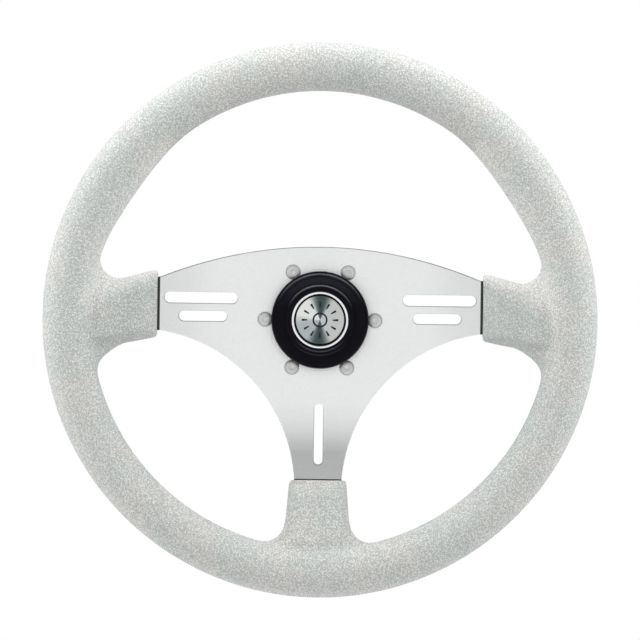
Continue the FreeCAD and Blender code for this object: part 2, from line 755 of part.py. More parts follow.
def arm_rivet(arm, number, across):
    """A domed rivet through the plate and the lug, formed alike at both ends."""
    body = new_body(f"arm_rivet_{arm.name}_{number}")
    profile = sketch_on(body, f"rivet_profile_{arm.name}_{number}", "XY_Plane")
    seat = stack / 2
    top = seat + SIZE["rivet_rise"]
    shank, head = SIZE["rivet_shank"] / 2, SIZE["rivet_head"] / 2
    dome = SIZE["rivet_rise"] * 0.8
    draw_outline(profile, [
        (0, -top), (head, -top, dome), (head, -seat), (shank, -seat),
        (shank, seat), (head, seat), (head, top, dome), (0, top),
    ])
    turn(body, profile)
    arm.lean(body, "Placement", arm.lug_middle + across, rivet_middle_out, rivet_middle_y)
    return body


def arm_seal(arm):
    """A flat rubber band round the neck of the tang, between the arm's shoulder and the boot."""
    body = new_body(f"seal_{arm.name}")
    lip = half_plate + SIZE["seal_lip"]
    stop = arm.end + SIZE["seal_width"]
    outside = sketch_on(body, f"seal_outside_{arm.name}", arm.side_plane, arm.middle())
    draw_outline(outside, side_band(arm, arm.end, stop, -lip, lip))
    pad(body, outside, arm.top - arm.low, both_ways=True)
    inside = sketch_on(body, f"seal_inside_{arm.name}", arm.side_plane, arm.middle())
    draw_outline(inside, side_band(arm, arm.end, stop, -half_plate, half_plate))
    cut = pocket(body, inside, arm.top - arm.low - 2 * SIZE["tang_step"])
    cut.SideType = "Symmetric"
    return body


# Rim: the grip, moulded over everything in it

def rim_grip(inserts):
    form = new_body("grip_form")
    rim_ring(form)
    for arm in ARMS:
        boot(form, arm)
    round_edges(form, SIZE["boot_fillet"], between_boot_and_rim)
    round_edges(form, SIZE["mouth_edge"], round_a_mouth)
    for name, angle in (("right", SIZE["swell_angle"]), ("left", 180 - SIZE["swell_angle"])):
        swell(form, name, angle)
    held = combine("Part::MultiFuse", "inserts", Shapes=inserts)
    return combine("Part::Cut", "rim_grip", Base=form, Tool=held)


def rim_ring(form):
    section = sketch_on(form, "rim_section", "XY_Plane")
    draw_ellipse(section, rim_radius, rim_middle, SIZE["grip_width"], SIZE["grip_depth"])
    turn(form, section)


def swell(form, name, angle):
    """A length of a flatter ring, whose inner edge runs from rim to rim over the swell's peak."""
    half_chord = rim_inside * sine(SIZE["swell_half_angle"])
    sagitta = rim_inside - SIZE["swell_height"] - rim_inside * cosine(SIZE["swell_half_angle"])
    edge_radius = (half_chord * half_chord + sagitta * sagitta) / (2 * sagitta)
    edge = rim_inside - SIZE["swell_height"]
    half_turn = arc_sine(half_chord / edge_radius)
    section = sketch_on(form, f"swell_{name}", "XY_Plane")
    section.AttachmentOffset = Placement(Vector(), Rotation(Vector(0, -1, 0), angle.value))
    bind(section, "AttachmentOffset.Rotation.Angle", angle)
    far = edge - edge_radius
    line = Part.LineSegment(point(far, rim_middle), point(far, rim_middle + SIZE["grip_depth"]))
    axis = section.addGeometry(line, True)
    pin(section, axis, 1, far, rim_middle)
    pin(section, axis, 2, far, rim_middle + SIZE["grip_depth"])
    depth = SIZE["grip_depth"] - 2 * SIZE["swell_sink"]
    draw_ellipse(section, edge + SIZE["swell_width"] / 2, rim_middle, SIZE["swell_width"], depth)
    feature = form.newObject("PartDesign::Revolution", section.Name + "_turned")
    feature.Profile = section
    feature.ReferenceAxis = (section, ["Axis0"])
    feature.Midplane = True
    bind(feature, "Angle", 2 * SIZE["swell_overrun_ratio"] * half_turn)


def draw_ellipse(sketch, x, y, width, height):
    lying = width.value >= height.value
    long_size, short_size = (width, height) if lying else (height, width)
    centre = point(x, y)
    tip = Vector(long_size.value / 2, 0, 0) if lying else Vector(0, long_size.value / 2, 0)
    side = Vector(0, short_size.value / 2, 0) if lying else Vector(-short_size.value / 2, 0, 0)
    item = sketch.addGeometry(Part.Ellipse(centre + tip, centre + side, centre), False)
    sketch.exposeInternalGeometry(item)
    pin(sketch, item, 3, x, y)
    long_axis, short_axis = item + 1, item + 2
    sketch.addConstraint(Sketcher.Constraint("Horizontal" if lying else "Vertical", long_axis))
    measure(sketch, "Distance", long_axis, long_size)
    measure(sketch, "Distance", short_axis, short_size)


def boot(form, arm):
    """One boot: a soft-edged block from its mouth, over the flare, to the middle of the rim."""
    sections = []
    for place, out in (("mouth", arm.mouth), ("flare", flare_out), ("root", rim_radius)):
        share = (out - arm.mouth) / (rim_radius - arm.mouth)
        depth = SIZE["boot_mouth_depth"] + share * (SIZE["boot_root_depth"] - SIZE["boot_mouth_depth"])
        sketch = sketch_on(form, f"boot_{place}_{arm.name}", arm.cross_plane, arm.cross_offset(out))
        front, back = arm_middle(out) - depth / 2, arm_middle(out) + depth / 2
        top, low = arm.boot_top(out), arm.boot_low(out)
        corners = [(front, low), (front, top), (back, top), (back, low)]
        draw_outline(sketch, [(*arm.cross(y, up), SIZE["boot_round"]) for y, up in corners])
        sections.append(sketch)
    loft = form.newObject("PartDesign::AdditiveLoft", f"boot_{arm.name}")
    loft.Profile = sections[0]
    loft.Sections = sections[1:]
    loft.Ruled = True


def between_boot_and_rim(edge, faces):
    turned = [face.Surface.TypeId == "Part::GeomSurfaceOfRevolution" for face in faces]
    return len(turned) == 2 and sum(turned) == 1


def round_a_mouth(edge, faces):
    spots = [edge.valueAt(edge.FirstParameter), edge.valueAt(edge.LastParameter)]
    for arm in ARMS:
        outs = [-spot.z if arm.upright else arm.sign * spot.x for spot in spots]
        if all(abs(out - arm.mouth.value) < 0.001 for out in outs):
            return True
    return False


# Hub

def hub():
    body = new_body("hub")
    profile = sketch_on(body, "hub_profile", "XY_Plane")
    seat = -SIZE["hub_depth"]
    flange_rear = seat + SIZE["hub_flange_depth"]
    shaft = SIZE["shaft_diameter"] / 2
    shaft_small = shaft - SIZE["taper_length"] / SIZE["shaft_taper"] / 2
    draw_outline(profile, [
        (shaft, 0),
        (SIZE["neck_rear"] / 2, 0, SIZE["hub_edge"]),
        (SIZE["neck_front"] / 2, flange_rear, SIZE["neck_round"]),
        (SIZE["hub_flange"] / 2, flange_rear, SIZE["hub_edge"]),
        (SIZE["hub_flange"] / 2, seat, SIZE["hub_edge"]),
        (SIZE["spigot_diameter"] / 2, seat),
        (SIZE["spigot_diameter"] / 2, seat - SIZE["spigot_height"]),
        (SIZE["socket_diameter"] / 2, seat - SIZE["spigot_height"]),
        (SIZE["socket_diameter"] / 2, seat + SIZE["socket_depth"]),
        (SIZE["nut_pocket"] / 2, seat + SIZE["socket_depth"]),
        (SIZE["nut_pocket"] / 2, -SIZE["taper_length"]),
        (shaft_small, -SIZE["taper_length"]),
    ])
    turn(body, profile)

    tapped = sketch_on(body, "tapped_hole", "XZ_Plane")
    draw_circle(tapped, SIZE["screw_circle"] / 2, 0, SIZE["screw_thread"] + 2 * SIZE["thread_play"])
    repeat_round(body, tapped, pocket(body, tapped), SIZE["screw_count"])

    keyway = sketch_on(body, "keyway", "XZ_Plane")
    half = SIZE["keyway_width"] / 2
    key_top = shaft + SIZE["keyway_depth"]
    draw_outline(keyway, [(half, 0), (half, key_top), (-half, key_top), (-half, 0)])
    pocket(body, keyway, SIZE["taper_length"], backwards=True)
    return body


def hub_screw(number):
    """A button-head screw; its head stands on the front of the plate."""
    body = new_body(f"hub_screw_{number}")
    profile = sketch_on(body, f"screw_profile_{number}", "XY_Plane")
    head, shank = SIZE["screw_head"] / 2, SIZE["screw_thread"] / 2
    draw_outline(profile, [
        (0, -SIZE["screw_head_height"]),
        (head, -SIZE["screw_head_height"], SIZE["screw_dome"]),
        (head, 0),
        (shank, 0),
        (shank, SIZE["screw_length"]),
        (0, SIZE["screw_length"]),
    ])
    turn(body, profile)
    socket = sketch_on(body, f"screw_socket_{number}", "XZ_Plane", SIZE["screw_head_height"])
    corner = SIZE["screw_key"] / 2 / cosine(30)
    draw_outline(socket, [
        (corner * cosine(60 * side), corner * sine(60 * side)) for side in range(6)
    ])
    pocket(body, socket, SIZE["screw_key_depth"])
    angle = 360 / SIZE["screw_count"] * (number - 1)
    bind(body, "Placement.Base.x", SIZE["screw_circle"] / 2 * cosine(angle))
    bind(body, "Placement.Base.y", plate_front)
    bind(body, "Placement.Base.z", SIZE["screw_circle"] / 2 * sine(angle))
    return body


# Cap, bezel and badge

def cap_y(height):
    """Y of a height over the front of the plate."""
    return plate_front - height


boss_top = SIZE["cap_height"] + SIZE["boss_rise"]
badge_floor = boss_top - SIZE["badge_seat"]
badge_face = badge_floor + SIZE["badge_thickness"]
ring_centre = SIZE["socket_diameter"] / 2 - SIZE["ring_play"] - SIZE["ring_cord"] / 2
ring_y = plate_front + SIZE["skirt_length"] - SIZE["ring_setback"] - SIZE["ring_cord"] / 2


def hub_cap():
    body = new_body("hub_cap")
    profile = sketch_on(body, "cap_profile", "XY_Plane")
    skirt = SIZE["socket_diameter"] / 2 - SIZE["skirt_play"]
    inside = skirt - SIZE["cap_wall"]
    skirt_end = plate_front + SIZE["skirt_length"]
    ceiling = cap_y(badge_floor - SIZE["cap_wall"])
    groove = ring_centre - SIZE["ring_cord"] / 2 - SIZE["ring_play"]
    half_groove = SIZE["ring_cord"] / 2 + SIZE["ring_play"]
    foot, edge = SIZE["cap_foot"] / 2, SIZE["cap_diameter"] / 2
    boss = SIZE["boss_diameter"] / 2
    seat = SIZE["bezel_diameter"] / 2 + SIZE["bezel_play"]
    draw_outline(profile, [
        (0, ceiling),
        (inside, ceiling),
        (inside, skirt_end),
        (skirt, skirt_end),
        (skirt, ring_y + half_groove),
        (groove, ring_y + half_groove),
        (groove, ring_y - half_groove),
        (skirt, ring_y - half_groove),
        (skirt, plate_front),
        (foot, plate_front),
        (foot, cap_y(SIZE["cap_foot_height"])),
        (edge, cap_y(SIZE["cap_foot_height"])),
        (edge, cap_y(SIZE["cap_height"]), SIZE["cap_edge"]),
        (boss, cap_y(SIZE["cap_height"])),
        (boss, cap_y(boss_top), SIZE["boss_edge"]),
        (seat, cap_y(boss_top)),
        (seat, cap_y(badge_floor)),
        (0, cap_y(badge_floor)),
    ])
    turn(body, profile)
    return body


def cap_o_ring():
    ring = combine("Part::Torus", "cap_o_ring")
    ring.Placement = Placement(Vector(0, 0, 0), Rotation(Vector(1, 0, 0), 90))
    bind(ring, "Radius1", ring_centre)
    bind(ring, "Radius2", SIZE["ring_cord"] / 2)
    bind(ring, "Placement.Base.y", ring_y)
    return ring


def bezel_ring():
    body = new_body("bezel_ring")
    profile = sketch_on(body, "bezel_profile", "XY_Plane")
    outer, inner = SIZE["bezel_diameter"] / 2, SIZE["bezel_bore"] / 2
    front, back = cap_y(boss_top + SIZE["bezel_rise"]), cap_y(badge_floor)
    draw_outline(profile, [
        (inner, back),
        (outer, back),
        (outer, front, SIZE["bezel_round"]),
        (inner, front, SIZE["bezel_round"]),
    ])
    turn(body, profile)
    return body


def badge_disc():
    body = new_body("badge_disc")
    profile = sketch_on(body, "disc_profile", "XY_Plane")
    radius = SIZE["badge_diameter"] / 2
    draw_outline(profile, [
        (0, cap_y(badge_floor)),
        (radius, cap_y(badge_floor)),
        (radius, cap_y(badge_face), SIZE["badge_edge"]),
        (0, cap_y(badge_face)),
    ])
    turn(body, profile)
    return body


def badge_marks():
    """Enamel marks on the disc: a plain ring with short index marks round it."""
    body = new_body("badge_marks")
    body.AllowCompound = True
    ring = sketch_on(body, "mark_ring", "XZ_Plane", -cap_y(badge_face))
    draw_circle(ring, 0, 0, SIZE["mark_ring"])
    draw_circle(ring, 0, 0, SIZE["mark_ring"] - 2 * SIZE["mark_ring_width"])
    pad(body, ring, SIZE["mark_rise"])
    mark = sketch_on(body, "index_mark", "XZ_Plane", -cap_y(badge_face))
    wide, narrow = SIZE["mark_width"] / 2, SIZE["mark_width"] / 4
    draw_outline(mark, [
        (SIZE["mark_inner"], -narrow),
        (SIZE["mark_outer"], -wide),
        (SIZE["mark_outer"], wide),
        (SIZE["mark_inner"], narrow),
    ])
    repeat_round(body, mark, pad(body, mark, SIZE["mark_rise"]), SIZE["mark_count"])
    return body


# The wheel

plate = spoke_plate()
ring = core_ring()
lugs = [core_lug(arm, ring) for arm in ARMS]
rivets = [
    arm_rivet(arm, number, across)
    for arm in ARMS
    for number, across in enumerate(rivet_places(arm), start=1)
]
seals = [arm_seal(arm) for arm in ARMS]
grip = rim_grip([plate, ring, *lugs, *rivets, *seals])
screws = [hub_screw(number) for number in range(1, int(SIZE["screw_count"].value) + 1)]
wheel = [
    grip, ring, *lugs, plate, *rivets, *seals, hub(), *screws,
    hub_cap(), cap_o_ring(), bezel_ring(), badge_disc(), badge_marks(),
]
doc.recompute()

faults = [item.Label for item in doc.Objects if "Invalid" in item.State or "Error" in item.State]
faults += [item.Label for item in wheel if item.Shape.isNull() or not item.Shape.isValid()]
if faults:
    raise RuntimeError("failed: " + ", ".join(faults))

os.makedirs("parts", exist_ok=True)
for item in wheel:
    item.Shape.exportStep(f"parts/{item.Label}.step")
    box = item.Shape.BoundBox
    print(
        f"{item.Label:20s} solids {len(item.Shape.Solids):2d} volume {item.Shape.Volume:10.1f}"
        f"  x {box.XMin:7.1f} {box.XMax:7.1f}  y {box.YMin:7.1f} {box.YMax:7.1f}"
        f"  z {box.ZMin:7.1f} {box.ZMax:7.1f}"
    )
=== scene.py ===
# %% [markdown]
# # Dressing a boat steering wheel
#
# The solids of this wheel come ready made: the plate with its three arms, the hub, the screws, the cap
# and a plain body for the soft rim. This lesson gives them their looks, one piece at a time.
# Everything is in metres. The wheel faces -Y, the shaft runs along +Y and +Z is up, so a piece that is
# built at the right place needs no fitting afterwards.

# %% Load the solids
import math

import bpy
import numpy as np
from mathutils import Euler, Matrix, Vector


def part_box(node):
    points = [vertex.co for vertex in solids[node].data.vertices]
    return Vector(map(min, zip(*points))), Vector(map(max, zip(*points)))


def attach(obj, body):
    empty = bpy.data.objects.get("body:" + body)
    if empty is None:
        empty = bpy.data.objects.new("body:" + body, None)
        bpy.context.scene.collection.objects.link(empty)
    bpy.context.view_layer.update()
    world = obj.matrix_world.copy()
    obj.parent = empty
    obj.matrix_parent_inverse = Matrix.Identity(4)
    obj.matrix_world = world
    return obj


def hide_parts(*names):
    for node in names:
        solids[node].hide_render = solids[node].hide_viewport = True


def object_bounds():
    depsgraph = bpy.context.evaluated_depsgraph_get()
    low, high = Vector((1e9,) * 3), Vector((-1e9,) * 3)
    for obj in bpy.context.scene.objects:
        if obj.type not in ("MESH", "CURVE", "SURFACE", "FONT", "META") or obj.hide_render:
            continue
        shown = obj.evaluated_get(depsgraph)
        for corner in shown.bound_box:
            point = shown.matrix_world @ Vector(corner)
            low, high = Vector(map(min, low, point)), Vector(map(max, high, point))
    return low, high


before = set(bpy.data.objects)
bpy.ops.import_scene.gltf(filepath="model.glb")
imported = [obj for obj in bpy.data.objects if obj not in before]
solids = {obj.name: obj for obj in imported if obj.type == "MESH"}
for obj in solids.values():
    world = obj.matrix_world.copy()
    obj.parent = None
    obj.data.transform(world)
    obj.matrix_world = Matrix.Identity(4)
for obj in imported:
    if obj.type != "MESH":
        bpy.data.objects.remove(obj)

solid_low, solid_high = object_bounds()
millimetre = 0.001


# %% [markdown]
# ## Where the rim is
#
# The rim is a ring round the shaft's axis. Its middle plane and its radius are read off the solids: the
# steel ring inside it gives both, and the soft body gives the width of the grip. The steps below use
# them to tell the outside of the rim from its inside.

# %% Measure the rim
core_low, core_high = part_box("rim_core_ring")
rim_plane = (core_low.y + core_high.y) / 2
core_bar = core_high.y - core_low.y
rim_radius = core_high.x - core_bar / 2
grip_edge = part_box("rim_grip")[1].x
grip_width = 2 * (grip_edge - rim_radius)
for name, value in (("plane at", rim_plane), ("radius", rim_radius), ("grip width", grip_width)):
    print("rim", name, round(value / millimetre, 1), "mm")

# %% [markdown]
# ## Writing finishes as sums
#
# A finish is a small calculation that is done at every point of the surface. In Blender each step of it
# is a node, and long chains of nodes are hard to read in code. So an output of a node is wrapped in a
# small class here. Adding or multiplying two of these adds the Math node that does it, and for a
# direction or a place it adds a Vector Math node instead, because a Math node would turn it grey.

# %% A wrapper for one output
class Strand:
    """One output of a node. A sum with it adds the node that works the sum out."""

    def __init__(self, finish, socket):
        self.finish = finish
        self.socket = socket

    def join(self, operation, first, second):
        spread = any(isinstance(item, Strand) and item.socket.type == "VECTOR" for item in (first, second))
        kind = "ShaderNodeVectorMath" if spread else "ShaderNodeMath"
        return self.finish.node(kind, {"operation": operation}, {0: first, 1: second})

    def __add__(self, other):
        return self.join("ADD", self, other)

    def __radd__(self, other):
        return self.join("ADD", other, self)

    def __sub__(self, other):
        return self.join("SUBTRACT", self, other)

    def __rsub__(self, other):
        return self.join("SUBTRACT", other, self)

    def __mul__(self, other):
        return self.join("MULTIPLY", self, other)

    def __rmul__(self, other):
        return self.join("MULTIPLY", other, self)

    def __truediv__(self, other):
        return self.join("DIVIDE", self, other)

    def __pow__(self, other):
        return self.join("POWER", self, other)

    def __abs__(self):
        return self.finish.node("ShaderNodeMath", {"operation": "ABSOLUTE"}, {0: self})


# %% [markdown]
# A finish owns a material. Numbers that are the same all over go straight onto the shader, and every
# other node comes from one method: it takes the kind of node, its settings, and what goes into it.
# Short helpers on top of it name the few steps that come back in nearly every finish.

# %% A finish and the one method that adds nodes
class Nodes:
    """The node tree of a material or of the world."""

    def __init__(self, tree):
        self.tree = tree

    def node(self, kind, settings=None, inputs=None, out=0):
        item = self.tree.nodes.new(kind)
        for name, value in (settings or {}).items():
            if name == "stops":
                ramp = item.color_ramp
                while len(ramp.elements) < len(value):
                    ramp.elements.new(0.5)
                for element, (position, colour) in zip(ramp.elements, value):
                    element.position = position
                    element.color = (*colour, 1)
            else:
                setattr(item, name, value)
        for name, value in (inputs or {}).items():
            self.feed(item.inputs[name], value)
        if out is None:
            return item
        return Strand(self, item.outputs[out])

    def split(self, vector):
        """The three parts of a vector."""
        item = self.node("ShaderNodeSeparateXYZ", inputs={0: vector}, out=None)
        return [Strand(self, output) for output in item.outputs]

    def rays(self, *kinds):
        """1 for light rays of these kinds, such as Camera, and 0 for all others."""
        item = self.node("ShaderNodeLightPath", out=None)
        first, *others = (Strand(self, item.outputs[f"Is {kind} Ray"]) for kind in kinds)
        return sum(others, first)

    def between(self, value, low, high, at_low=0.0, at_high=1.0):
        """at_low below low, at_high above high, with a soft passage."""
        settings = {"interpolation_type": "SMOOTHSTEP"}
        inputs = {"Value": value, 1: low, 2: high, 3: at_low, 4: at_high}
        return self.node("ShaderNodeMapRange", settings, inputs)

    def blend(self, share, first, second):
        """A colour between two colours."""
        inputs = {"Factor": share, 6: first, 7: second}
        return self.node("ShaderNodeMix", {"data_type": "RGBA"}, inputs, out=2)

    def feed(self, socket, value):
        if isinstance(value, Strand):
            self.tree.links.new(value.socket, socket)
        elif socket.type == "RGBA":
            socket.default_value = (*value, 1)
        elif socket.type == "VECTOR" and not hasattr(value, "__len__"):
            socket.default_value = (value, value, value)
        else:
            socket.default_value = value


class Finish(Nodes):
    """A material, made of one surface shader and what feeds it."""

    def __init__(self, name, **same_all_over):
        self.material = bpy.data.materials.new(name)
        self.material.use_nodes = True
        super().__init__(self.material.node_tree)
        self.surface = self.tree.nodes["Principled BSDF"]
        self.varies(**same_all_over)
        self.place = self.node("ShaderNodeTexCoord", out="Object")

    def varies(self, **sockets):
        for name, value in sockets.items():
            self.feed(self.surface.inputs[name.replace("_", " ")], value)

    def from_axis(self):
        """How far a point is from the shaft's axis."""
        x, y, z = self.split(self.place)
        return (x * x + z * z) ** 0.5

    def stretched(self, x, y, z):
        """The place, with so many lumps of noise to a metre in each direction."""
        return self.place * self.node("ShaderNodeCombineXYZ", inputs={0: x, 1: y, 2: z})

    def noise(self, size, place=None, detail=2.0, roughness=0.5):
        """Soft random values round 0.5, whose lumps are about one size across."""
        inputs = {"Vector": place or self.place, "Scale": 1 / size, "Detail": detail, "Roughness": roughness}
        return self.node("ShaderNodeTexNoise", inputs=inputs)

    def cells(self, size, place):
        """How far it is to the middle of the nearest cell, with soft joins between the cells."""
        inputs = {"Vector": place, "Scale": 1 / size}
        return self.node("ShaderNodeTexVoronoi", {"feature": "SMOOTH_F1"}, inputs)

    def bump(self, height, deep):
        """Turns a height from 0 to 1 into a relief that is so many metres deep."""
        return self.node("ShaderNodeBump", inputs={"Height": height, "Distance": deep, "Strength": 1.0})


def paint(finish, *names):
    """Gives a finish to solids that are shown as they are."""
    for name in names:
        mesh = solids[name].data
        mesh.materials.clear()
        mesh.materials.append(finish.material)
    print(finish.material.name, "on", len(names), "solids:", ", ".join(names))


# %% [markdown]
# ## The soft rim
#
# The rim of such a wheel is one piece of polyurethane foam. It is moulded in a two-part mould, over a
# steel ring and over the ends of the three arms, and its skin takes a fine leather grain from the mould.
# It could be modelled by sweeping a section round a circle, but the boots over the arms then need
# patches where they meet the ring. Remeshing the plain solid into small even squares is simpler: the
# squares run on over every blend, and a few rounds of smoothing make the whole skin flow like foam that
# has filled a mould.

# %% Remesh the rim
skin_square = 1.35 * millimetre
smoothing_rounds = 6
smoothing_share = 0.5


def evaluated_mesh(item, name):
    """The mesh of an object with its modifiers worked in."""
    graph = bpy.context.evaluated_depsgraph_get()
    mesh = bpy.data.meshes.new_from_object(item.evaluated_get(graph))
    mesh.name = name
    return mesh


raw = bpy.data.objects.new("raw_rim", solids["rim_grip"].data.copy())
bpy.context.scene.collection.objects.link(raw)
weld = raw.modifiers.new("weld", "WELD")
weld.merge_threshold = 0.001 * millimetre
squares = raw.modifiers.new("squares", "REMESH")
squares.mode = "VOXEL"
squares.voxel_size = skin_square
smooth = raw.modifiers.new("smooth", "SMOOTH")
smooth.factor = smoothing_share
smooth.iterations = smoothing_rounds
rim = bpy.data.objects.new("moulded_rim", evaluated_mesh(raw, "moulded_rim"))
bpy.data.objects.remove(raw)
bpy.context.scene.collection.objects.link(rim)
rim.data.shade_smooth()
print("moulded rim", len(rim.data.polygons), "squares")

# %% [markdown]
# Smoothing pulls the skin in a little, as it does with every round form. Each point is moved out again
# along its normal by what was lost, which is measured at the outside of the ring.

# %% Bring the rim back to its size
def read_points(mesh, what):
    """The places or the normals of a mesh's points, one row each."""
    rows = np.empty(len(mesh.vertices) * 3, np.float32)
    mesh.vertices.foreach_get(what, rows)
    return rows.reshape(-1, 3)


def write_points(mesh, rows):
    mesh.vertices.foreach_set("co", rows.ravel())
    mesh.update()


spots = read_points(rim.data, "co")
lost = grip_edge - float(spots[:, 0].max())
write_points(rim.data, spots + read_points(rim.data, "normal") * lost)
print(f"smoothing had taken {lost * 1e6:.0f} micrometres")

# %% [markdown]
# Above each side arm the ring swells inwards a little, for the thumb. On the solid, each swell starts
# and stops with a faint crease on the inside of the ring. In a mould nothing starts so suddenly. The
# swell's rise follows a parabola, so the same parabola, softened over a few degrees, says how far each
# point has to move to melt the crease into the ring.

# %% Melt the ends of the thumb swells
swell_rise = 3.3 * millimetre
swell_angle = 34.5
swell_half = 17.0
swell_soft = 6.0
swell_reach = 60.0
swell_samples = 2401

turns = np.linspace(-swell_reach, swell_reach, swell_samples)
rise = np.clip(1 - (turns / swell_half) ** 2, 0, None)
window = np.ones(int(2 * swell_soft / (turns[1] - turns[0])))
soft_rise = np.convolve(rise, window / len(window), mode="same")
spots = read_points(rim.data, "co")
out = np.hypot(spots[:, 0], spots[:, 2])
from_swell = np.degrees(np.arctan2(spots[:, 2], abs(spots[:, 0]))) - swell_angle
inner = np.clip((rim_radius - out) / (grip_width / 2), 0, 1)
inward = swell_rise * np.interp(from_swell, turns, soft_rise - rise) * inner
spots[:, 0] *= 1 - inward / out
spots[:, 2] *= 1 - inward / out
write_points(rim.data, spots)
print(f"points moved in by up to {inward.max() * 1000:.2f} mm and out by {-inward.min() * 1000:.2f} mm")

# %% [markdown]
# Under each side arm the boot flares into the ring. The solid does that with a straight flare, whose two
# ends show as corners. The same smoothing as before, but only there and many times over, turns them
# into one sweep. It pulls the skin in again. How far is measured where it works nearly in full and where
# the skin faces straight to the front, and that is given back as well.

# %% Sweep the flares
sweep_rounds = 90
sweep_middle = (133 * millimetre, -22 * millimetre)
sweep_reach = 20 * millimetre
sweep_full = 7.5 * millimetre
sweep_levels = 10
judged_from = 0.9


def soft_step(values, low, high):
    """0 at low, 1 at high, with a soft passage."""
    share = np.clip((values - low) / (high - low), 0, 1)
    return share * share * (3 - 2 * share)


spots = read_points(rim.data, "co")
away = np.hypot(abs(spots[:, 0]) - sweep_middle[0], spots[:, 2] - sweep_middle[1])
weights = soft_step(away, sweep_reach, sweep_full)
group = rim.vertex_groups.new(name="flares")
for level in range(1, sweep_levels + 1):
    chosen = np.flatnonzero(np.round(weights * sweep_levels) == level)
    group.add(chosen.tolist(), level / sweep_levels, "REPLACE")
sweep = rim.modifiers.new("sweep", "SMOOTH")
sweep.factor = smoothing_share
sweep.iterations = sweep_rounds
sweep.vertex_group = "flares"
rim.data = evaluated_mesh(rim, "moulded_rim")
rim.modifiers.clear()
rim.vertex_groups.clear()
normals = read_points(rim.data, "normal")
swept = read_points(rim.data, "co")
front = (weights > judged_from) & (-normals[:, 1] > judged_from)
lost = float(np.median((swept - spots)[front, 1]))
write_points(rim.data, swept + normals * (lost * weights)[:, None])
print(f"the sweep had taken {lost * 1000:.2f} mm at the front of the boots")

# %% [markdown]
# The foam lies fuller over the arms than the plain solid shows. Each boot is a low pillow in front and
# behind. A side boot rolls away broadly to its upper edge, where it catches the light, and tightly to
# its lower one. The bottom boot rolls away alike on both sides. Sculpting by hand would do, but a few
# numbers for each boot are enough: where its mouth is, where its two edges run, and how wide each roll
# is. The root is where the boot meets the ring. Only the outer skin is raised, in front and behind. The
# walls of the hollow that the arm sits in face the other way, towards the arm, and stay where they are.

# %% Raise the pillows of the boots
pillow_rise = 4.6 * millimetre
side_boot = {
    "mouth": 103.3,
    "edges at mouth": (31.0, -12.0), "edges at root": (21.5, -18.5),
    "rolls at mouth": (8.0, 3.5), "rolls at root": (32.0, 5.0),
}
bottom_boot = {
    "mouth": 101.5,
    "edges at mouth": (18.0, -18.0), "edges at root": (20.5, -20.5),
    "rolls at mouth": (6.0, 6.0), "rolls at root": (8.0, 8.0),
}
boots = {"right": ((1, 0), side_boot), "left": ((-1, 0), side_boot), "bottom": ((0, -1), bottom_boot)}
arm_slope = math.tan(math.radians(20))
pillow_lead = 10 * millimetre
pillow_fade = (24 * millimetre, 2 * millimetre)


def rolled(share):
    """0 at an edge, rising round to 1 where the roll ends."""
    return np.sin(np.clip(share, 0, 1) * math.pi / 2)


def along_boot(boot, what, share):
    """A pair of sizes in metres, which pass from those at the mouth to those at the root."""
    pairs = zip(boot[f"{what} at mouth"], boot[f"{what} at root"])
    return [(at_mouth + (at_root - at_mouth) * share) * millimetre for at_mouth, at_root in pairs]


spots = read_points(rim.data, "co")
normals = read_points(rim.data, "normal")
for name, (heading, boot) in boots.items():
    out = spots[:, 0] * heading[0] + spots[:, 2] * heading[1]
    across = spots[:, 0] if heading[1] else spots[:, 2]
    mouth = boot["mouth"] * millimetre
    share = np.clip((out - mouth) / (rim_radius - mouth), 0, 1)
    top, low = along_boot(boot, "edges", share)
    top_roll, low_roll = along_boot(boot, "rolls", share)
    crown = rolled((top - across) / top_roll) * rolled((across - low) / low_roll)
    middle_y = rim_plane + (rim_radius - out) * arm_slope
    outer_skin = (spots[:, 1] - middle_y) * normals[:, 1] > 0
    along = soft_step(out, mouth, mouth + pillow_lead)
    along *= 1 - soft_step(out, rim_radius - pillow_fade[0], rim_radius - pillow_fade[1])
    rise = pillow_rise * crown * along * outer_skin
    spots[:, 1] += rise * normals[:, 1]
    print(name, "boot raised by up to", round(float(rise.max()) * 1000, 2), "mm")
write_points(rim.data, spots)

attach(rim, "root")
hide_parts("rim_grip")

# %% [markdown]
# ## The grain of the skin
#
# The skin takes its grain from the mould: small rounded pebbles, a little under a millimetre across,
# with finer noise on top. Cells of random shape make such pebbles. Their places are pushed about by a
# slower noise, because even cells would look like a net. Where the two halves of a mould meet, they
# leave a fine line round the outside and the inside of the ring. It is a narrow ridge in the relief.

# %% The relief of the skin
pebble = 0.88 * millimetre
seam_half = (0.12 * millimetre, 0.45 * millimetre)
seam_height = 0.9
skin_depth = 0.22 * millimetre

skin = Finish("grained foam skin", Specular_IOR_Level=0.35)
wander = skin.noise(6 * pebble, detail=1.0) - 0.5
pebbles = 1 - skin.cells(pebble, skin.place + wander * (0.6 * pebble))
fine = skin.noise(0.32 * millimetre, detail=3.0, roughness=0.6)
relief = pebbles * 0.7 + fine * 0.3
x, y, z = skin.split(skin.place)
seam = 1 - skin.between(abs(y - rim_plane), *seam_half)
skin.varies(Normal=skin.bump(relief + seam * seam_height, skin_depth))
print("pebbles", round(pebble / millimetre, 2), "mm across")

# %% [markdown]
# The boots are darker than the ring, and that is painted shade in the colour of the skin. Along the
# upper edge of each side boot, where a thumb rests, the skin is paler. That is light from above: the
# lamps below give a part of it, and a painted highlight in the skin gives the rest, which stays there in
# any other light. So the finish needs to know where those edges run. They start at the mouth of the boot
# and sink towards the ring while the roll below them gets wider. Each is a straight line here, which is
# all that a soft painted highlight needs.

# %% Where the boots get painted light and shade
boots_fade = (138 * millimetre, 158 * millimetre)
mouth_fade = (-12 * millimetre, -2 * millimetre)
edge_inset = 0.5 * millimetre
edge_sinks = 0.28
roll_widens = 0.43

